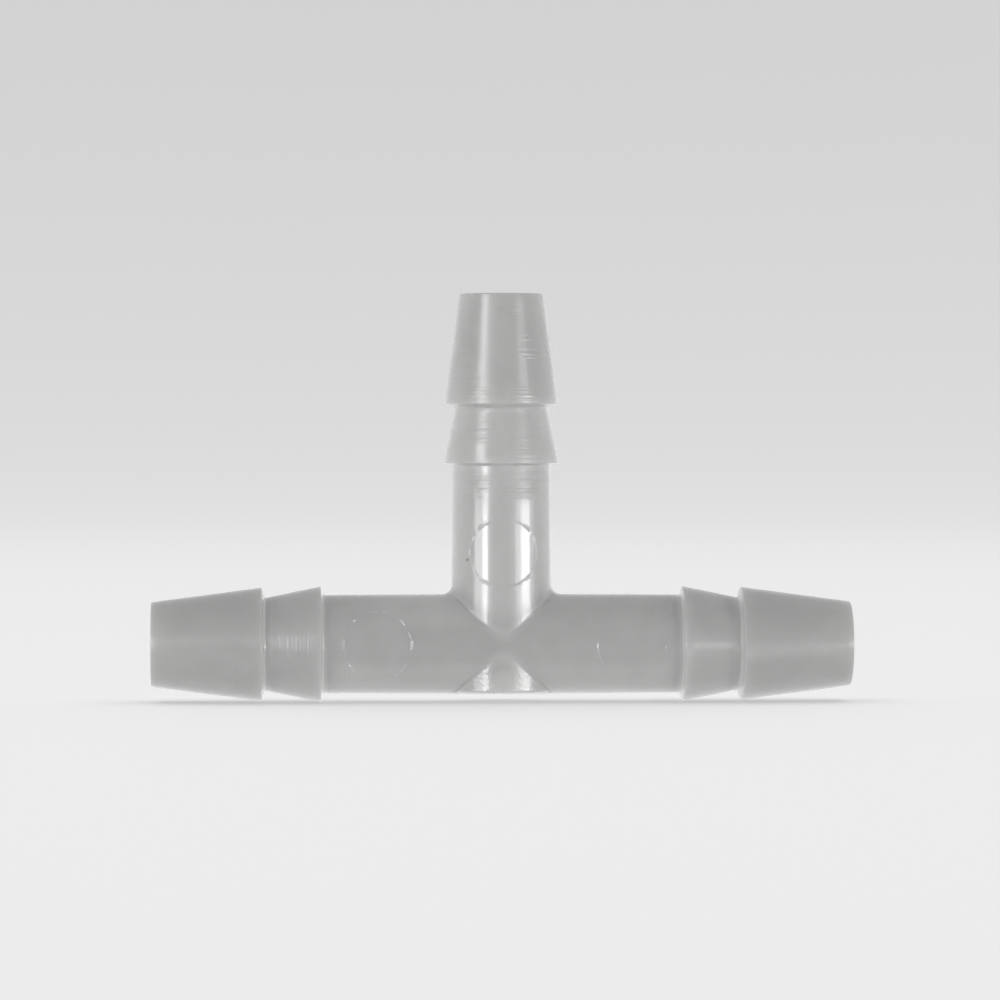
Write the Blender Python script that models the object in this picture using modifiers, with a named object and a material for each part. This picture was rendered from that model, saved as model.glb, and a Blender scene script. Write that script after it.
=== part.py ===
"""Equal barbed tee connector for 10 mm (3/8 in) bore hose, in natural polypropylene.

Run along X, branch up along +Z, front towards -Y. The origin is on the surface that the run's barb
crests touch, straight below the point where the centrelines of run and branch cross.

The real tee is a single moulding. It is divided here, at flat cuts across its three legs, into the
hub at the crossing and the three barbed spigots that hoses push onto. All four stay rigid together.
"""

import math

import bmesh
import bpy
from mathutils import Matrix

# Driving dimensions, in metres. Distances along a leg are measured from the crossing.
LEG_REACH = 0.0350  # crossing to the open end of each leg, the same for all three
STUB_REACH = 0.0047  # crossing to the flat end of the branch's round form, just inside the run
BODY_RADIUS = 0.0050  # of the legs where they cross
NECK_RADIUS = 0.0049  # of a leg where its inner barb starts, after the draft of the mould
BARB_ROOT_RADIUS = 0.0046
INNER_CREST_RADIUS = 0.00575
END_CREST_RADIUS = 0.00565
TIP_RADIUS = 0.0042
INNER_CREST_AT = 0.0181
END_CREST_AT = 0.0240
INNER_SHOULDER_LEAN = 0.00015  # how far a barb's root lies nearer the hub than its crest
END_SHOULDER_LEAN = 0.0003
BORE_RADIUS = 0.0031  # at the crossing
MOUTH_RADIUS = 0.00325  # of the bore at a leg's end, wider by the core pin's draft
CORNER_FILLET = 0.0010  # where the branch meets the top of the run
CORNER_BEND = math.radians(12)  # a concave edge that bends less than this needs no fillet
EDGE_BREAK = 0.0002  # chamfer on both edges of a leg's end face
HUB_REACH = 0.0070  # crossing to the cut between hub and spigot
CUT_GAP = 0.0003  # between the two faces of a cut
CUTTER_OVERRUN = 0.0010

AXIS_HEIGHT = INNER_CREST_RADIUS  # the widest barbs touch the surface
ROUND_STEPS = 48  # sides of every turned shape
FILLET_SEGMENTS = 4
MERGE_DISTANCE = 0.00001

NATURAL_POLYPROPYLENE = (0.56, 0.56, 0.555, 1.0)
ROUGHNESS = 0.3

# Which way each leg points, as the turn about Y that takes +Z to it.
SPIGOTS = {
    "left_spigot": -math.pi / 2,
    "right_spigot": math.pi / 2,
    "branch_spigot": 0.0,
}


def clear_scene():
    for obj in list(bpy.data.objects):
        bpy.data.objects.remove(obj, do_unlink=True)


def new_collection(name):
    collection = bpy.data.collections.new(name)
    bpy.context.scene.collection.children.link(collection)
    return collection


def natural_plastic(name):
    material = bpy.data.materials.new(name)
    material.use_nodes = True
    shader = material.node_tree.nodes["Principled BSDF"]
    shader.inputs["Base Color"].default_value = NATURAL_POLYPROPYLENE
    shader.inputs["Roughness"].default_value = ROUGHNESS
    shader.inputs["Metallic"].default_value = 0.0
    material.diffuse_color = NATURAL_POLYPROPYLENE
    return material


def along_leg(distance, at_crossing, at_reach, reach):
    """A radius that changes evenly from the crossing to reach, at this distance."""
    return at_crossing + (at_reach - at_crossing) * distance / reach


def bore_radius_at(distance):
    return along_leg(distance, BORE_RADIUS, MOUTH_RADIUS, LEG_REACH)


def body_radius_at(distance):
    return along_leg(distance, BODY_RADIUS, NECK_RADIUS, INNER_CREST_AT)


def spigot_profile():
    """(radius, distance along the leg) round one spigot's wall: down the outside, then up the bore."""
    cut = HUB_REACH + CUT_GAP
    neck_end = INNER_CREST_AT - INNER_SHOULDER_LEAN
    root = END_CREST_AT - END_SHOULDER_LEAN
    outside = [
        (TIP_RADIUS - EDGE_BREAK, LEG_REACH),
        (TIP_RADIUS, LEG_REACH - EDGE_BREAK),
        (END_CREST_RADIUS, END_CREST_AT),
        (BARB_ROOT_RADIUS, root),
        (INNER_CREST_RADIUS, INNER_CREST_AT),
        (NECK_RADIUS, neck_end),
        (body_radius_at(cut), cut),
    ]
    bore = [
        (bore_radius_at(cut), cut),
        (MOUTH_RADIUS, LEG_REACH - EDGE_BREAK),
        (MOUTH_RADIUS + EDGE_BREAK, LEG_REACH),
    ]
    return outside + bore


def turned_mesh(name, profile):
    """The profile as a closed loop of edges in the XZ plane, ready for a Screw about Z."""
    mesh = bpy.data.meshes.new(name)
    points = [(radius, 0.0, distance) for radius, distance in profile]
    loop = [(i, (i + 1) % len(points)) for i in range(len(points))]
    mesh.from_pydata(points, loop, [])
    return mesh


def add_screw(obj):
    screw = obj.modifiers.new("turn", "SCREW")
    screw.axis = "Z"
    screw.angle = 2 * math.pi
    screw.steps = ROUND_STEPS
    screw.render_steps = ROUND_STEPS
    screw.use_merge_vertices = True
    screw.merge_threshold = MERGE_DISTANCE
    screw.use_smooth_shade = False


def make_spigots(collection, material):
    mesh = turned_mesh("spigot_profile", spigot_profile())
    mesh.materials.append(material)
    for name, turn in SPIGOTS.items():
        spigot = bpy.data.objects.new(name, mesh)
        spigot.location = (0.0, 0.0, AXIS_HEIGHT)
        spigot.rotation_euler = (0.0, turn, 0.0)
        collection.objects.link(spigot)
        add_screw(spigot)


def round_bar(name, start, end, start_radius, end_radius, turn, collection):
    """A closed cone or cylinder about a leg's axis, from start to end, turned about Y from +Z."""
    mesh = bpy.data.meshes.new(name)
    shape = bmesh.new()
    bmesh.ops.create_cone(
        shape,
        cap_ends=True,
        segments=ROUND_STEPS,
        radius1=start_radius,
        radius2=end_radius,
        depth=end - start,
        matrix=Matrix.Translation((0.0, 0.0, (start + end) / 2)),
    )
    shape.to_mesh(mesh)
    shape.free()
    bar = bpy.data.objects.new(name, mesh)
    bar.location = (0.0, 0.0, AXIS_HEIGHT)
    bar.rotation_euler = (0.0, turn, 0.0)
    collection.objects.link(bar)
    return bar


def hide_helper(obj):
    obj.hide_render = True
    obj.display_type = "WIRE"


def add_boolean(obj, operation, other):
    boolean = obj.modifiers.new(operation.lower() + "_" + other.name, "BOOLEAN")
    boolean.operation = operation
    boolean.solver = "EXACT"
    boolean.object = other


def weigh_inside_corners(mesh):
    """Marks the upper concave edges for a fillet of one radius: its width falls as a corner opens out."""
    shape = bmesh.new()
    shape.from_mesh(mesh)
    weight = shape.edges.layers.float.new("bevel_weight_edge")
    for edge in shape.edges:
        above_axis = min(vertex.co.z for vertex in edge.verts) > AXIS_HEIGHT
        if above_axis and edge.is_manifold and not edge.is_convex:
            bend = edge.calc_face_angle(0.0)
            if bend > CORNER_BEND:
                edge[weight] = min(1.0, math.tan(bend / 2))
    shape.to_mesh(mesh)
    shape.free()


def make_hub(collection, cutters, material):
    """The crossing: the run, and the branch carried down through it to end flat near the underside."""
    run = round_bar(
        "hub_run", -HUB_REACH, HUB_REACH, BODY_RADIUS, BODY_RADIUS, math.pi / 2, cutters
    )
    through = round_bar(
        "hub_branch", -STUB_REACH, HUB_REACH, BODY_RADIUS, BODY_RADIUS, 0.0, cutters
    )
    add_boolean(run, "UNION", through)
    graph = bpy.context.evaluated_depsgraph_get()
    joined = bpy.data.meshes.new_from_object(run.evaluated_get(graph))
    joined.transform(run.matrix_world)
    for helper in (run, through):
        hide_helper(helper)
    weigh_inside_corners(joined)
    joined.materials.clear()
    joined.materials.append(material)
    hub = bpy.data.objects.new("tee_hub", joined)
    collection.objects.link(hub)
    fillet = hub.modifiers.new("corner_fillet", "BEVEL")
    fillet.limit_method = "WEIGHT"
    fillet.width = CORNER_FILLET
    fillet.segments = FILLET_SEGMENTS
    for name, turn in SPIGOTS.items():
        end = HUB_REACH + CUTTER_OVERRUN
        bore = round_bar(
            "bore_to_" + name, 0.0, end, BORE_RADIUS, bore_radius_at(end), turn, cutters
        )
        hide_helper(bore)
        add_boolean(hub, "DIFFERENCE", bore)


def main():
    clear_scene()
    collection = new_collection("barbed_tee_connector")
    cutters = new_collection("cutters")
    material = natural_plastic("natural_polypropylene")
    make_hub(collection, cutters, material)
    make_spigots(collection, material)


main()
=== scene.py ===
"""The looks of the barbed tee connector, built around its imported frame.

The fitting is one moulding in natural polypropylene, so one closed skin, tee_moulding, stands for all
four CAD nodes. The mesh code below works in millimetres, measured from the point where the centrelines
of run and branch cross, and the skin is moved into the frame, in metres, at the end.

Every leg is laid out the same way: phi is the angle round the leg's axis, from 0 at the front, and s is
the distance along the leg from the crossing. The stub, the branch's round form below the run, is the
crossing's fourth arm.
"""

import math

import bmesh
import bpy
import numpy as np
from mathutils import Matrix, Vector, noise


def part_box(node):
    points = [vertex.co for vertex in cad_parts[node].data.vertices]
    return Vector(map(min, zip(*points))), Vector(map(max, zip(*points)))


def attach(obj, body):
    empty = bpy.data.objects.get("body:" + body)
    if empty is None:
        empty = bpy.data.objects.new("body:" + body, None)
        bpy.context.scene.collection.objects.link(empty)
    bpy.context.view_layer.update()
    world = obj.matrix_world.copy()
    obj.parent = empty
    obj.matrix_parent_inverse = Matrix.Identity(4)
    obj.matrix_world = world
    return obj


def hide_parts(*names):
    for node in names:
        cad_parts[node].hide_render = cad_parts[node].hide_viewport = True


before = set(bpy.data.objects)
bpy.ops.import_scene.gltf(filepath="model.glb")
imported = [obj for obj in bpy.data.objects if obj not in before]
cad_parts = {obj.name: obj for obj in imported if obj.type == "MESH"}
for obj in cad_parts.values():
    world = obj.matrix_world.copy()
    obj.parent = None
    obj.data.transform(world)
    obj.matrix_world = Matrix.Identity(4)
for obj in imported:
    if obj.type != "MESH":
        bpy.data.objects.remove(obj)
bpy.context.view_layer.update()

MM = 0.001

# Sizes that the frame gives.
HUB_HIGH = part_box("tee_hub")[1] / MM
SPIGOT_LOW, SPIGOT_HIGH = (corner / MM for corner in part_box("right_spigot"))
AXIS_HEIGHT = (SPIGOT_LOW.z + SPIGOT_HIGH.z) / 2
LEG_REACH = SPIGOT_HIGH.x
INNER_CREST_RADIUS = SPIGOT_HIGH.y
BODY_RADIUS = HUB_HIGH.y

# The moulding's other sizes.
NECK_RADIUS = 4.9
ROOT_RADIUS = 4.6
END_CREST_RADIUS = 5.65
TIP_RADIUS = 4.2
INNER_CREST_AT = 18.1
END_CREST_AT = 24.0
INNER_SHOULDER_LEAN = 0.15
END_SHOULDER_LEAN = 0.3
BORE_RADIUS = 3.1
MOUTH_RADIUS = 3.25
STUB_REACH = 4.7
SHALLOWER = 0.03  # share by which branch and stub are shallower, front to back, than the run they cross
STUB_EDGE = 0.14  # rounding of the stub's lower edge
STUB_BLEND = 0.15  # softens where the stub's flat end meets the run's underside
TOP_FILLET = 1.0  # where the outlines of branch and run meet
CREASE_FILLET = 0.5  # everywhere else along the mitres of the crossing
CREST_ROUNDING = 0.05
ROOT_ROUNDING = 0.2
RIM_ROUNDING = 0.1

# Marks of the mould.
PIN_RADIUS = 3.42  # of the ring that each ejector pin left
PINS = {"branch": 9.17, "left": 12.5, "right": 12.7}  # distance of each pin's centre from the crossing
PIN_DEPTH = 0.02  # of the sunk disc inside the ring
RING_HEIGHTS = {"branch": 0.03, "left": 0.09, "right": 0.026}
RING_WIDTH = 0.075
SEAM_HEIGHT = 0.018
SEAM_WIDTH = 0.07
UNEVEN_LENGTH = 0.5  # of the ups and downs along rings and seam
UNEVEN_SEED = 11.0
WAVE_HEIGHT = 0.012
WAVE_LENGTH = 5.0
WAVE_SEED = 3.0
GATE_RADIUS = 0.75
GATE_HEIGHT = 0.15
DIMPLE_DEPTH = 0.3 * GATE_HEIGHT
DIMPLE_RADIUS = 1.5 * GATE_RADIUS
DIMPLE_WIDTH = 0.3
SPECK = (-3.55, 8.5)  # x and z of a dark speck in the plastic, on the branch's front
SPECK_RADII = (0.05, 0.17)  # where it starts to fade, and where it ends

# Where the plastic's masks begin and end, in millimetres.
TURNED_FROM = (14.0, 15.2)  # distance along a leg over which the turning lines set in
PITTED_TO = (0.3, 2.2)  # distance above the mitre over which the branch's pits fade
# Painted light: branch, stub, mitres and the run beside them are painted paler to stand in for light and to
# lift the shade in the creases.
BRANCH_PAINTED_LIGHT_FROM = (0.0, 2.5)  # distance from the mitre over which painted light sets in on branch and stub
BRANCH_PAINTED_LIGHT_TO = (22.0, 28.0)  # height over which the branch's tip gets less of the painted light
BESIDE_FROM = (1.2, 2.6)  # distance from the run's axis over which its painted-light parts set in
BESIDE_REACH = {"above": 9.0, "below": 14.0}  # how far along the run these parts go
BESIDE_FADE = 7.0
MITRE_GLOW_WIDTH = 0.7
# width of the painted light along the mitres and in the barbs' roots, which lifts the shade in those
# creases
ROOT_GLOW_WIDTH = 0.38

# The plastic: its tone, as the base colour's value, and its gloss.
PLASTIC = 0.57
ROUGHNESS = 0.17
SPECK_TONE = (0.08, 0.075, 0.07, 1.0)

# Studio, in metres: the floor is a disc, then a bend, then an upright wall.
FLOOR_RADIUS = 1.1
FLOOR_BEND = 0.7
WALL_HEIGHT = 2.4
FLOOR_GLOW = 0.24
OVERHEAD = 0.76  # radiance of the floor's own light
OVERHEAD_SIZE = 2.6
OVERHEAD_HEIGHT = 1.6
SKY_BELOW = 1.18
SKY_ABOVE = 0.7
SKY_FRONT = 0.29  # share of the sky's light that comes from behind the camera
SOFTBOX_DISTANCE = 0.6

# For each softbox: its azimuths from the camera's own, its elevations, in degrees, and its radiance.
LEVEL = (-5.5, 2.5)
SOFTBOXES = {
    "left_core": ((-43, -31), LEVEL, 11.2),
    "left_flank": ((-64, -43), LEVEL, 4.3),
    "left_fill": ((-31, -22), (-6, 18), 1.25),
    "left_patch": ((-22, -12), (2, 20), 0.5),
    "left_upper": ((-46, -30), (8, 17), 4.8),
    "left_top": ((-54, -37), (17, 27), 6.2),
    "right_core": ((46, 68), LEVEL, 10.0),
    "right_fade": ((68, 80), LEVEL, 2.2),
    "right_flank": ((33, 46), LEVEL, 4.2),
    "right_fill": ((21, 33), (-14, 2.5), 0.62),
    "right_patch": ((15, 30), (-27, -12), 0.86),
    "right_upper": ((40, 58), (9, 20), 2.6),
    "right_side": ((80, 125), (-15, 25), 0.2),
    "right_rim": ((135, 170), (-12, 12), 0.2),
}

# Camera: the lens and sensor in millimetres, the angles in degrees, the rest in metres.
CROSSING = Vector((0.0, 0.0, AXIS_HEIGHT * MM))
CAMERA_AZIMUTH = -2.8
CAMERA_ELEVATION = 2.2
CAMERA_DISTANCE = 0.52
LENS = 187.0
SENSOR = 36.0
AIM = CROSSING + Vector((-0.00015, 0.0, 0.0144))

# Spacing of the skin's rows and columns, in degrees and millimetres.
COLUMN_STEPS = [(0, 46, 1.0), (46, 86, 3.4), (86, 94, 0.67), (94, 164, 4.4), (164, 180, 2.3)]
PIN_ROW = 0.09
PIN_MIDDLE_ROW = 0.14
PIN_MIDDLE = 0.65  # share of the pin's radius that the middle rows cover
PIN_MARGIN = 0.35
NECK_ROW = 0.45
CONE_ROW = 0.8
BORE_ROW = 3.0
STUB_FLAT_ROW = 0.3
CROSSING_ROWS = 26
CROSSING_GROWTH = 1.035  # factor by which each step away from the mitre is longer than the one before
CROSSING_LENGTH = 1.05  # the least that these rows take up along a leg
STUB_ROWS = 24
ARC_STEPS = 4

NECK_END = INNER_CREST_AT - 0.8  # where the path along the barbs begins
PATH_END = LEG_REACH - 2.0  # where that path ends, inside the bore

FRONT = np.array([0.0, -1.0, 0.0])
X = np.array([1.0, 0.0, 0.0])
Z = np.array([0.0, 0.0, 1.0])
# For each arm of the crossing: where it points, and its side at a quarter turn from the front.
ARMS = {"branch": (Z, X), "right": (X, Z), "left": (-X, Z), "stub": (-Z, X)}


def smoothstep(low, high, value):
    t = np.clip((value - low) / (high - low), 0.0, 1.0)
    return t * t * (3.0 - 2.0 * t)


def bell(value, width):
    """1 where value is 0, and near 0 beyond twice the width."""
    return np.exp(-((value / width) ** 2))


def column_angles():
    """phi of every column, from -pi to pi: close together at the pin marks, the seam and the gate."""
    half = [0.0]
    for start, end, step in COLUMN_STEPS:
        count = max(1, round((end - start) / step))
        half += [start + (end - start) * (i + 1) / count for i in range(count)]
    degrees = [-angle for angle in reversed(half[1:-1])] + half
    return np.radians(degrees)


PHI = column_angles()


def arm_points(arm, rho, phi, s):
    """Points at radius rho, angle phi and distance s of an arm."""
    along, side = ARMS[arm]
    rho, phi, s = np.broadcast_arrays(rho, phi, s)
    return (
        s[..., None] * along
        + (rho * np.sin(phi))[..., None] * side
        + (rho * np.cos(phi))[..., None] * FRONT
    )


def arm_direction(arm, phi):
    """The way out of an arm, square to its axis."""
    return arm_points(arm, np.ones_like(phi), phi, np.zeros_like(phi))


def body_radius(s):
    """Of a leg's neck, which tapers with the draft of the mould."""
    return BODY_RADIUS + (NECK_RADIUS - BODY_RADIUS) * s / INNER_CREST_AT


def bore_radius(s):
    return BORE_RADIUS + (MOUTH_RADIUS - BORE_RADIUS) * s / LEG_REACH


def branch_depth(z):
    """Share of its full depth, front to back, that the branch or stub has."""
    return 1.0 - SHALLOWER * (1.0 - np.abs(z) / LEG_REACH)


def skin_points(arm, rho, phi, s):
    """Points of an arm's outside, where branch and stub are not quite round."""
    points = arm_points(arm, rho, phi, s)
    if arm in ("branch", "stub"):
        points[..., 1] *= branch_depth(points[..., 2])
    return points


def mitre_distance(radius_at, phi):
    """s where an arm's surface meets the arm beside it: there the side offset equals s."""
    s = np.zeros_like(phi)
    for _ in range(6):
        s = radius_at(s) * np.abs(np.sin(phi))
    return s


def fillet_radius(bend, z):
    """Of the concave corner between run and branch, where their surfaces differ by the angle bend."""
    full = np.where(z > 0, TOP_FILLET, CREASE_FILLET)
    radius = CREASE_FILLET + (full - CREASE_FILLET) * smoothstep(1.0, math.pi / 2, bend)
    radius *= 1.0 - smoothstep(STUB_REACH - 1.0, STUB_REACH, -z)
    return radius * (1.0 - np.cos(bend / 2)) / (1.0 - math.cos(math.pi / 4))


def outside_distance(points):
    """How far points are outside run and branch, joined with a round fillet."""
    x, y, z = np.moveaxis(points, -1, 0)
    from_branch = np.hypot(x, y / branch_depth(z))
    from_run = np.hypot(y, z)
    a = from_branch - body_radius(np.abs(z))
    b = from_run - body_radius(np.abs(x))
    bend = np.arccos(np.clip(y * y / (from_branch * from_run), -1.0, 1.0))
    r = fillet_radius(bend, z)
    round_part = np.hypot(np.maximum(r - a, 0.0), np.maximum(r - b, 0.0))
    return np.maximum(r, np.minimum(a, b)) - round_part


def move_to_fillet(points, direction):
    """Points moved along direction until they lie on the filleted surface."""
    low = np.zeros(points.shape[:-1])
    high = np.full(points.shape[:-1], 2 * TOP_FILLET)
    for _ in range(30):
        middle = (low + high) / 2
        outside = outside_distance(points + middle[..., None] * direction) >= 0.0
        high = np.where(outside, middle, high)
        low = np.where(outside, low, middle)
    return points + high[..., None] * direction


def mitre_row(arm):
    """The row of points that an arm shares with the arms beside it, and the way out from there."""
    s = mitre_distance(body_radius, PHI)
    points = arm_points(arm, body_radius(s), PHI, s)
    own = arm_direction(arm, PHI)
    beside = own * np.abs(FRONT) + np.abs(np.sin(PHI))[:, None] * ARMS[arm][0]
    out = own + beside
    out /= np.linalg.norm(out, axis=1)[:, None]
    return move_to_fillet(points, out), out


def growing_shares(count, growth):
    """Shares from 0 to 1 whose steps grow by the same factor."""
    shares = np.concatenate([[0.0], np.cumsum(growth ** np.arange(count))])
    return shares / shares[-1]


def even_steps(start, end, step):
    """Values from start, left out, to end, about a step apart."""
    count = max(1, round(abs(end - start) / step))
    return [start + (end - start) * (i + 1) / count for i in range(count)]


def rounded_path(corners):
    """The path along corners given as (s, radius, rounding), with an arc at each but the first and last."""
    path = [np.array(corners[0][:2])]
    for before, corner, after in zip(corners, corners[1:], corners[2:]):
        here = np.array(corner[:2])
        back = np.array(before[:2]) - here
        ahead = np.array(after[:2]) - here
        back /= np.linalg.norm(back)
        ahead /= np.linalg.norm(ahead)
        half = math.acos(float(np.clip(back @ ahead, -1.0, 1.0))) / 2
        middle = (back + ahead) / np.linalg.norm(back + ahead)
        centre = here + middle * corner[2] / math.sin(half)
        start = here + back * corner[2] / math.tan(half)
        end = here + ahead * corner[2] / math.tan(half)
        first = math.atan2(*(start - centre)[::-1])
        turn = math.atan2(*(end - centre)[::-1]) - first
        turn = (turn + math.pi) % (2 * math.pi) - math.pi
        for i in range(ARC_STEPS + 1):
            angle = first + turn * i / ARC_STEPS
            path.append(centre + corner[2] * np.array([math.cos(angle), math.sin(angle)]))
    path.append(np.array(corners[-1][:2]))
    return path


def spigot_path():
    """(s, radius) along a leg's barbs, round its rim and a little way into its bore."""
    corners = [
        (NECK_END, body_radius(NECK_END), 0.0),
        (INNER_CREST_AT - INNER_SHOULDER_LEAN, NECK_RADIUS, ROOT_ROUNDING),
        (INNER_CREST_AT, INNER_CREST_RADIUS, CREST_ROUNDING),
        (END_CREST_AT - END_SHOULDER_LEAN, ROOT_RADIUS, ROOT_ROUNDING),
        (END_CREST_AT, END_CREST_RADIUS, CREST_ROUNDING),
        (LEG_REACH, TIP_RADIUS, RIM_ROUNDING),
        (LEG_REACH, MOUTH_RADIUS, RIM_ROUNDING),
        (PATH_END, bore_radius(PATH_END), 0.0),
    ]
    path = []
    for point in rounded_path(corners):
        if path:
            gap = np.linalg.norm(point - path[-1])
            shares = even_steps(0.0, 1.0, CONE_ROW / max(gap, CONE_ROW))
            path += [path[-1] + (point - path[-1]) * share for share in shares]
        else:
            path.append(point)
    return path


def neck_rows(arm):
    """s of the rows between the crossing's own rows and the barbs, dense where the pin mark is.

    Its ring runs along the leg at its sides, so the rows can be wider apart in its middle.
    """
    mark_start = PINS[arm] - PIN_RADIUS - PIN_MARGIN
    mark_end = PINS[arm] + PIN_RADIUS + PIN_MARGIN
    start = min(mark_start, BODY_RADIUS + 1.3 * TOP_FILLET)
    rows = [start]
    if mark_start > start:
        rows += even_steps(start, mark_start, NECK_ROW)
    middle_start = PINS[arm] - PIN_MIDDLE * PIN_RADIUS
    middle_end = PINS[arm] + PIN_MIDDLE * PIN_RADIUS
    rows += even_steps(rows[-1], middle_start, PIN_ROW)
    rows += even_steps(middle_start, middle_end, PIN_MIDDLE_ROW)
    rows += even_steps(middle_end, mark_end, PIN_ROW)
    rows += even_steps(mark_end, NECK_END, NECK_ROW)
    return rows[:-1]


def noise_at(points, length, seed):
    """Smooth noise from -1 to 1, one value for each point, with features about length across."""
    flat = points.reshape(-1, 3) / length + seed
    return np.array([noise.noise(Vector(p)) for p in flat]).reshape(points.shape[:-1])


def distance_from_pin(arm, x, z):
    centre = PINS[arm] * ARMS[arm][0]
    return np.hypot(x - centre[0], z - centre[2])


def pin_mark(arm, x, z, uneven):
    """Height of the raised ring that an ejector pin left, and of the sunk disc inside it."""
    from_ring = distance_from_pin(arm, x, z) - PIN_RADIUS
    ring = RING_HEIGHTS[arm] * uneven * bell(from_ring, RING_WIDTH)
    return ring - PIN_DEPTH * (1.0 - smoothstep(-0.12, 0.06, from_ring))


def gate_mark(x, z):
    """Height of the gate vestige, a flat nub in a shallow dimple."""
    from_gate = np.hypot(x, z)
    nub = GATE_HEIGHT * (1.0 - smoothstep(0.75 * GATE_RADIUS, GATE_RADIUS, from_gate))
    return nub - DIMPLE_DEPTH * bell(from_gate - DIMPLE_RADIUS, DIMPLE_WIDTH)


def relief(points):
    """How far the marks of the mould raise the outer surface."""
    x, y, z = np.moveaxis(points, -1, 0)
    uneven = np.clip(0.65 + 2.2 * noise_at(points, UNEVEN_LENGTH, UNEVEN_SEED), 0.1, 1.5)
    raised = SEAM_HEIGHT * (0.7 + 0.3 * uneven) * bell(y, SEAM_WIDTH)
    raised += WAVE_HEIGHT * noise_at(points, WAVE_LENGTH, WAVE_SEED)
    for arm in PINS:
        raised += np.where(y < 0, pin_mark(arm, x, z, uneven), 0.0)
    return raised + np.where(y > 0, gate_mark(x, z), 0.0)


def with_relief(points, out):
    return points + relief(points)[..., None] * out


def body_row(arm, s):
    """A row round an arm's body, moved out to the fillet where that is near."""
    own = arm_direction(arm, PHI)
    on_body = skin_points(arm, body_radius(s), PHI, s)
    return with_relief(move_to_fillet(on_body, own), own)


def leg_rows(arm):
    """All rows of a leg's skin: from the crossing along the outside, round the rim and down the bore."""
    first, first_out = mitre_row(arm)
    start_s = first @ ARMS[arm][0]
    necks = neck_rows(arm)
    crossing_end = np.maximum(necks[0], start_s + CROSSING_LENGTH)
    rows = [with_relief(first, first_out)]
    for share in growing_shares(CROSSING_ROWS, CROSSING_GROWTH)[1:]:
        rows.append(body_row(arm, start_s + (crossing_end - start_s) * share))
    for s in necks[1:]:
        s = NECK_END - (NECK_END - crossing_end) * (NECK_END - s) / (NECK_END - necks[0])
        rows.append(body_row(arm, s))
    path = spigot_path()
    rim = next(i for i, (s, _) in enumerate(path) if s > LEG_REACH - RIM_ROUNDING)
    own = arm_direction(arm, PHI)
    for i, (s, radius) in enumerate(path):
        points = skin_points(arm, radius, PHI, np.full_like(PHI, s))
        rows.append(with_relief(points, own) if i < rim else points)
    return rows + bore_rows(arm)


def bore_rows(arm):
    """The rest of a leg's bore, down to where the three bores meet."""
    end = mitre_distance(bore_radius, PHI)
    if arm != "branch":
        end = np.where(np.sin(PHI) < 0, 0.0, end)
    rows = []
    for share in even_steps(0.0, 1.0, BORE_ROW / PATH_END):
        s = PATH_END + (end - PATH_END) * share
        rows.append(arm_points(arm, bore_radius(s), PHI, s))
    return rows


def underside_row(rho, s):
    """A row of the stub's edge or flat end, lowered to the run's underside where that reaches deeper."""
    points = skin_points("stub", rho, PHI, np.full_like(PHI, s))
    run = np.sqrt(np.maximum(body_radius(np.abs(points[:, 0])) ** 2 - points[:, 1] ** 2, 0.0))
    blend = STUB_BLEND * min(1.0, (body_radius(STUB_REACH) - rho) / 0.5)
    points[:, 2] = -(s + run + np.hypot(s - run, blend)) / 2
    points[:, 2] -= SEAM_HEIGHT * bell(points[:, 1], SEAM_WIDTH) * (run > s)
    return points


def stub_rows():
    """The branch's round form below the run: its side, its edge, and its flat end with the run in it."""
    first, first_out = mitre_row("stub")
    start_s = -first[:, 2]
    straight_end = np.maximum(STUB_REACH - STUB_EDGE, start_s)
    rows = [with_relief(first, first_out)]
    for share in even_steps(0.0, 1.0, 1.0 / STUB_ROWS):
        rows.append(body_row("stub", start_s + (straight_end - start_s) * share))
    radius = body_radius(STUB_REACH)
    for a in even_steps(0.0, math.pi / 2, math.pi / 2 / ARC_STEPS):
        rho = radius - STUB_EDGE * (1 - math.cos(a))
        rows.append(underside_row(rho, STUB_REACH - STUB_EDGE * (1 - math.sin(a))))
    for rho in even_steps(radius - STUB_EDGE, 0.0, STUB_FLAT_ROW):
        rows.append(underside_row(rho, STUB_REACH))
    return rows


def add_strip(rows, vertices, faces):
    """Adds rows of points as a strip of quads that closes round its columns."""
    first = sum(len(block) for block in vertices)
    columns = len(PHI)
    vertices += rows
    for k in range(len(rows) - 1):
        for i in range(columns):
            j = (i + 1) % columns
            low, high = first + k * columns, first + (k + 1) * columns
            faces.append((low + i, low + j, high + j, high + i))


def pin_mask(x, y, z):
    """The discs that the ejector pins left on the front."""
    inside = np.zeros_like(x)
    for arm in PINS:
        from_pin = distance_from_pin(arm, x, z)
        inside = np.maximum(inside, 1.0 - smoothstep(PIN_RADIUS - 0.1, PIN_RADIUS, from_pin))
    return inside * (y < 0)


def turned_mask(x, z, along, pin):
    """How strong the turning lines are: full before the inner crests, and less on the barbs."""
    on_barbs = np.where(z > np.abs(x), 0.5, 0.2)
    strength = np.where(along < INNER_CREST_AT, 1.0, on_barbs)
    return smoothstep(*TURNED_FROM, along) * (1.0 - pin) * strength


def distance_from_mitre(x, z):
    """How far up or down from the line where branch and stub meet the run: negative on the run."""
    nose = BODY_RADIUS * math.sqrt(1.0 - (1.0 - SHALLOWER) ** 2)
    return np.abs(z) - np.hypot((1.0 - SHALLOWER) * x, nose)


def pitted_mask(z, along, from_mitre):
    """The stub, and the lowest part of the branch."""
    pitted = np.where(z > 0, 1.0 - smoothstep(*PITTED_TO, from_mitre), 1.0)
    return pitted * (smoothstep(-0.05, 0.1, from_mitre) * (along < BODY_RADIUS))


def speck_mask(x, y, z):
    from_speck = np.hypot(x - SPECK[0], z - SPECK[1])
    return (1.0 - smoothstep(*SPECK_RADII, from_speck)) * (y < 0)


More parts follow.
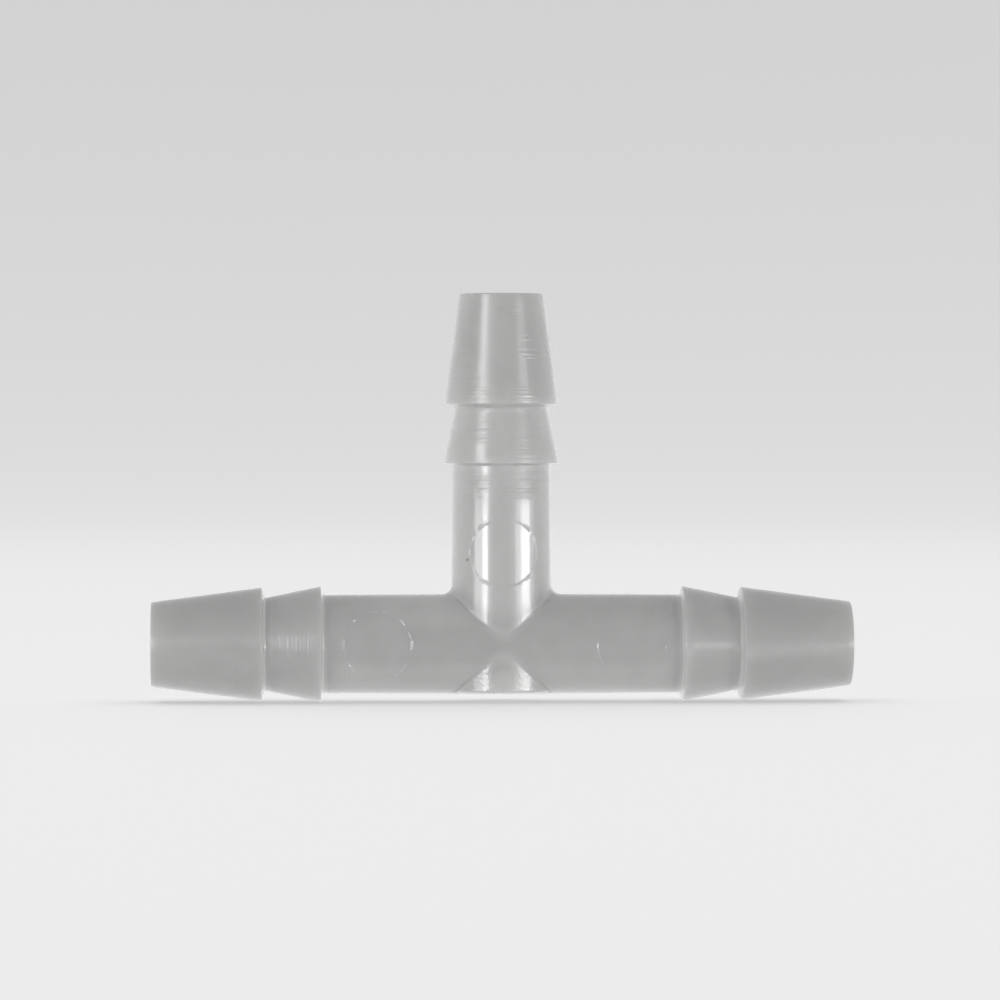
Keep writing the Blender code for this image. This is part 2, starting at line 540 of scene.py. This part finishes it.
def painted_light_mask(x, z, along, from_mitre):
    """Painted light: where the plastic is painted paler to stand in for light, on branch and stub, along
    the mitres against the shade of their creases, and on the run beside them, more below than above and
    more on the left than the right.
    """
    on_branch = smoothstep(*BRANCH_PAINTED_LIGHT_FROM, from_mitre) * (1.0 - 0.7 * smoothstep(*BRANCH_PAINTED_LIGHT_TO, z))
    on_mitre = 0.75 * bell(from_mitre, MITRE_GLOW_WIDTH)
    reach = np.where(z < 0, BESIDE_REACH["below"], BESIDE_REACH["above"])
    beside = smoothstep(*BESIDE_FROM, np.abs(z)) * (1.0 - smoothstep(reach, reach + BESIDE_FADE, along))
    beside *= np.where(z < 0, np.where(x < 0, 0.65, 0.5), np.where(x < 0, 0.45, 0.15))
    return np.maximum(np.maximum(on_branch, on_mitre), beside * (from_mitre < 0))


def root_painted_light_mask(x, z, along):
    """Painted light in the grooves right before the crests: it lightens the shade that falls there, most on
    the left leg, less on the right, least on the branch.
    """
    root = bell(along - INNER_CREST_AT + 0.2, ROOT_GLOW_WIDTH) * (along < INNER_CREST_AT - 0.03)
    root += bell(along - END_CREST_AT + 0.25, ROOT_GLOW_WIDTH) * (along < END_CREST_AT - 0.03)
    return root * np.where(z > np.abs(x), 0.45, np.where(x > 0, 0.6, 0.85))


def add_masks(mesh):
    """Stores for the material, at every point: the distance along its leg, what its surface is like, and
    where light is painted on it.
    """
    points = np.empty(3 * len(mesh.vertices))
    mesh.vertices.foreach_get("co", points)
    x, y, z = points.reshape(-1, 3).T
    along = np.maximum(np.abs(x), np.abs(z))
    from_mitre = distance_from_mitre(x, z)
    pin = pin_mask(x, y, z)
    masks = {
        "along": along,
        "pin": pin,
        "turned": turned_mask(x, z, along, pin),
        "barb": smoothstep(INNER_CREST_AT - 0.1, INNER_CREST_AT + 0.1, along),
        "pitted": pitted_mask(z, along, from_mitre),
        "speck": speck_mask(x, y, z),
        # painted light: branch, stub, mitres and the run beside them painted paler
        "painted_light": painted_light_mask(x, z, along, from_mitre),
        # painted light in the grooves before the crests, against the shade that falls there
        "root": root_painted_light_mask(x, z, along),
    }
    for name, values in masks.items():
        attribute = mesh.attributes.new(name, "FLOAT", "POINT")
        attribute.data.foreach_set("value", values.astype(np.float32))


def skin_mesh():
    """The whole moulding as one closed mesh, in the frame's metres."""
    vertices, faces = [], []
    for arm in PINS:
        add_strip(leg_rows(arm), vertices, faces)
    add_strip(stub_rows(), vertices, faces)
    points = np.concatenate(vertices)
    mesh = bpy.data.meshes.new("tee_moulding")
    mesh.from_pydata(points.tolist(), [], faces)
    form = bmesh.new()
    form.from_mesh(mesh)
    bmesh.ops.remove_doubles(form, verts=form.verts, dist=0.002)
    bmesh.ops.dissolve_degenerate(form, edges=form.edges, dist=0.0005)
    bmesh.ops.recalc_face_normals(form, faces=form.faces)
    form.to_mesh(mesh)
    form.free()
    add_masks(mesh)
    mesh.transform(Matrix.Translation((0.0, 0.0, AXIS_HEIGHT * MM)) @ Matrix.Scale(MM, 4))
    mesh.shade_smooth()
    mesh.set_sharp_from_angle(angle=math.radians(32))
    return mesh


class Nodes:
    """Makes a material's nodes; an input given as a socket is linked, and any other value is set."""

    def __init__(self, tree):
        self.tree = tree

    def add(self, kind, inputs=(), **settings):
        made = self.tree.nodes.new(kind)
        for name, value in settings.items():
            setattr(made, name, value)
        for key, value in dict(inputs).items():
            if isinstance(value, bpy.types.NodeSocket):
                self.tree.links.new(value, made.inputs[key])
            else:
                made.inputs[key].default_value = value
        return made

    def math(self, operation, *values):
        inputs = dict(enumerate(values))
        return self.add("ShaderNodeMath", inputs, operation=operation).outputs[0]

    def mix(self, share, colour, other):
        """The first colour where share is 0, and the other where it is 1."""
        inputs = {"Factor": share, 6: colour, 7: other}
        return self.add("ShaderNodeMix", inputs, data_type="RGBA").outputs[2]

    def attribute(self, name):
        return self.add("ShaderNodeAttribute", attribute_name=name).outputs["Fac"]

    def noise(self, where, scale, detail=2.0):
        inputs = {"Vector": where, "Scale": scale, "Detail": detail}
        return self.add("ShaderNodeTexNoise", inputs).outputs["Fac"]

    def line_noise(self, along, scale, detail=2.0):
        inputs = {"W": along, "Scale": scale, "Detail": detail}
        return self.add("ShaderNodeTexNoise", inputs, noise_dimensions="1D").outputs["Fac"]

    def ramp(self, value, low, high, to_low=0.0, to_high=1.0):
        inputs = {"Value": value, 1: low, 2: high, 3: to_low, 4: to_high}
        return self.add("ShaderNodeMapRange", inputs, interpolation_type="SMOOTHSTEP").outputs[0]

    def bump(self, height, distance, normal=None):
        """distance is in millimetres, for a height from 0 to 1."""
        inputs = {"Height": height, "Distance": distance * MM, "Strength": 1.0}
        if normal is not None:
            inputs["Normal"] = normal
        return self.add("ShaderNodeBump", inputs).outputs["Normal"]


def plastic_tone(level, blue):
    """The plastic's colour times level, with its own factor for blue: slightly less, for a warm white."""
    return (PLASTIC * level, PLASTIC * level, PLASTIC * blue, 1.0)


def dark_specks(nodes, where):
    """A few tiny specks spread over the moulding, and the marked one."""
    cells = nodes.add("ShaderNodeTexVoronoi", {"Vector": where, "Scale": 260.0}).outputs
    lot = nodes.add("ShaderNodeSeparateColor", {"Color": cells["Color"]}).outputs["Red"]
    rare = nodes.math("GREATER_THAN", lot, 0.985)
    specks = nodes.math("MULTIPLY", rare, nodes.ramp(cells["Distance"], 0.016, 0.03, 1.0, 0.0))
    return nodes.math("MAXIMUM", specks, nodes.attribute("speck"))


def plastic_colour(nodes, where):
    """A milky tone with a faint haze, painted light where the masks say so (branch, stub, mitres, the run
    beside them and the barbs' roots), and dark specks.
    """
    haze = nodes.noise(where, 140.0, 3.0)
    cloud = nodes.noise(where, 420.0, 4.0)
    tone = nodes.math("ADD", nodes.math("MULTIPLY", haze, 0.6), nodes.math("MULTIPLY", cloud, 0.4))
    tone = nodes.ramp(tone, 0.35, 0.65, 0.0, 0.25)
    # painted light: branch, stub, mitres and the run beside them painted paler
    tone = nodes.math("ADD", tone, nodes.math("MULTIPLY", nodes.attribute("painted_light"), 0.7))
    tinted = nodes.mix(tone, plastic_tone(0.88, 0.875), plastic_tone(1.14, 1.13))
    # painted light in the barbs' roots, against the shade in those grooves
    glowing = nodes.mix(nodes.attribute("root"), tinted, plastic_tone(1.42, 1.41))
    specks = nodes.math("MULTIPLY", dark_specks(nodes, where), 0.75)
    return nodes.mix(specks, glowing, SPECK_TONE)


def plastic_roughness(nodes, where):
    """Slightly uneven: duller on the barbs and where pitted, glossier inside the pin rings."""
    worn = nodes.noise(where, 900.0, 4.0)
    rough = nodes.ramp(worn, 0.3, 0.7, ROUGHNESS - 0.01, ROUGHNESS + 0.015)
    for mask, change in (("barb", 0.06), ("pitted", 0.015), ("pin", -0.035)):
        rough = nodes.math("ADD", rough, nodes.math("MULTIPLY", nodes.attribute(mask), change))
    return rough


def plastic_normal(nodes, where):
    """Turning lines in patches, pits, and two grains, all too fine for the mesh."""
    lines = nodes.math("SUBTRACT", nodes.line_noise(nodes.attribute("along"), 3.4), 0.5)
    lines = nodes.math("MULTIPLY", lines, nodes.attribute("turned"))
    patches = nodes.ramp(nodes.noise(where, 330.0, 1.0), 0.45, 0.65, 0.12, 1.0)
    normal = nodes.bump(nodes.math("MULTIPLY", lines, patches), 0.11)
    pits = nodes.math("MULTIPLY", nodes.attribute("pitted"), nodes.noise(where, 2600.0))
    normal = nodes.bump(pits, 0.03, normal)
    for scale, distance in ((1100.0, 0.0016), (5200.0, 0.0003)):
        normal = nodes.bump(nodes.noise(where, scale), distance, normal)
    return normal


def natural_polypropylene():
    """Milky, uncoloured plastic with the traces that the mould's turned and polished steel left in it."""
    material = bpy.data.materials.new("natural_polypropylene")
    material.use_nodes = True
    tree = material.node_tree
    nodes = Nodes(tree)
    where = nodes.add("ShaderNodeTexCoord").outputs["Object"]
    inputs = tree.nodes["Principled BSDF"].inputs
    tree.links.new(plastic_colour(nodes, where), inputs["Base Color"])
    tree.links.new(plastic_roughness(nodes, where), inputs["Roughness"])
    tree.links.new(plastic_normal(nodes, where), inputs["Normal"])
    inputs["IOR"].default_value = 1.49
    inputs["Specular IOR Level"].default_value = 0.9
    inputs["Subsurface Weight"].default_value = 0.6
    inputs["Subsurface Radius"].default_value = (1.0, 1.0, 0.95)
    inputs["Subsurface Scale"].default_value = 3.0 * MM
    return material


def pale_paper():
    """Matt, and with a glow of its own."""
    material = bpy.data.materials.new("pale_floor")
    material.use_nodes = True
    inputs = material.node_tree.nodes["Principled BSDF"].inputs
    inputs["Base Color"].default_value = (0.8, 0.8, 0.8, 1.0)
    inputs["Roughness"].default_value = 0.9
    inputs["Specular IOR Level"].default_value = 0.1
    inputs["Emission Color"].default_value = (1.0, 1.0, 1.0, 1.0)
    inputs["Emission Strength"].default_value = FLOOR_GLOW
    return material


def make_floor():
    """A pale floor that rises all round into a wall, seen by the camera alone."""
    profile = [(0.0, 0.0), (FLOOR_RADIUS, 0.0)]
    for a in even_steps(0.0, math.pi / 2, math.pi / 32):
        profile.append((FLOOR_RADIUS + FLOOR_BEND * math.sin(a), FLOOR_BEND * (1 - math.cos(a))))
    profile.append((FLOOR_RADIUS + FLOOR_BEND, WALL_HEIGHT))
    mesh = bpy.data.meshes.new("floor")
    edges = [(i, i + 1) for i in range(len(profile) - 1)]
    mesh.from_pydata([(r, 0.0, z) for r, z in profile], edges, [])
    mesh.materials.append(pale_paper())
    floor = bpy.data.objects.new("floor", mesh)
    bpy.context.scene.collection.objects.link(floor)
    turn = floor.modifiers.new("turn", "SCREW")
    turn.steps = 96
    turn.render_steps = 96
    turn.use_merge_vertices = True
    turn.merge_threshold = 0.0001
    turn.use_smooth_shade = True
    floor.visible_glossy = False
    floor.visible_diffuse = False
    floor.visible_transmission = False
    floor.visible_shadow = False
    return floor


def make_sky():
    """White light from all round: less from above, and least from behind the camera."""
    world = bpy.data.worlds.new("sky")
    bpy.context.scene.world = world
    world.use_nodes = True
    nodes = Nodes(world.node_tree)
    where = nodes.add("ShaderNodeTexCoord").outputs["Generated"]
    parts = nodes.add("ShaderNodeSeparateXYZ", {"Vector": where}).outputs
    by_height = nodes.ramp(parts["Z"], -0.7, 0.9, SKY_BELOW, SKY_ABOVE)
    by_depth = nodes.ramp(parts["Y"], -0.5, 1.0, SKY_FRONT, 1.0)
    background = world.node_tree.nodes["Background"]
    background.inputs["Color"].default_value = (1.0, 1.0, 1.0, 1.0)
    strength = nodes.math("MULTIPLY", by_height, by_depth)
    world.node_tree.links.new(strength, background.inputs["Strength"])


def direction(azimuth, elevation):
    """A unit vector: azimuth 0 is the front, and 90 the right, in degrees."""
    a, e = math.radians(azimuth), math.radians(elevation)
    return Vector((math.sin(a) * math.cos(e), -math.cos(a) * math.cos(e), math.sin(e)))


def area_light(name, width, height, radiance, lit_piece):
    """A rectangular light that the camera doesn't see, for one piece alone."""
    data = bpy.data.lights.new(name, "AREA")
    data.shape = "RECTANGLE"
    data.size = width
    data.size_y = height
    data.energy = math.pi * radiance * data.size * data.size_y
    light = bpy.data.objects.new(name, data)
    bpy.context.scene.collection.objects.link(light)
    light.visible_camera = False
    lit = bpy.data.collections.new("lit_by_" + name)
    lit.objects.link(lit_piece)
    light.light_linking.receiver_collection = lit
    return light


def span(angles):
    """The width of a softbox that covers these angles, in degrees, as seen from the crossing."""
    return 2 * SOFTBOX_DISTANCE * math.tan(math.radians(abs(angles[1] - angles[0]) / 2))


def light_moulding(moulding):
    """The softboxes, which face the crossing."""
    for name, (azimuths, elevations, radiance) in SOFTBOXES.items():
        light = area_light(name, span(azimuths), span(elevations), radiance, moulding)
        out = direction(CAMERA_AZIMUTH + sum(azimuths) / 2, sum(elevations) / 2)
        light.location = CROSSING + out * SOFTBOX_DISTANCE
        light.rotation_euler = out.to_track_quat("Z", "Y").to_euler()


def light_floor(floor):
    """A broad softbox overhead, for the floor alone, on which the moulding casts its shadow."""
    light = area_light("overhead", OVERHEAD_SIZE, OVERHEAD_SIZE, OVERHEAD, floor)
    light.location = CROSSING + Vector((0.0, 0.0, OVERHEAD_HEIGHT))


def make_camera():
    data = bpy.data.cameras.new("camera")
    data.lens = LENS
    data.sensor_width = SENSOR
    data.clip_start = 0.01
    data.clip_end = 20.0
    camera = bpy.data.objects.new("camera", data)
    bpy.context.scene.collection.objects.link(camera)
    camera.location = CROSSING + direction(CAMERA_AZIMUTH, CAMERA_ELEVATION) * CAMERA_DISTANCE
    camera.rotation_euler = (camera.location - AIM).to_track_quat("Z", "Y").to_euler()
    bpy.context.scene.camera = camera


def make_moulding():
    mesh = skin_mesh()
    mesh.materials.append(natural_polypropylene())
    moulding = bpy.data.objects.new("tee_moulding", mesh)
    bpy.context.scene.collection.objects.link(moulding)
    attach(moulding, "root")
    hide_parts("tee_hub", "left_spigot", "right_spigot", "branch_spigot")
    return moulding


def main():
    moulding = make_moulding()
    floor = make_floor()
    make_sky()
    light_moulding(moulding)
    light_floor(floor)
    make_camera()
    bpy.context.scene.view_settings.view_transform = "Standard"


main()
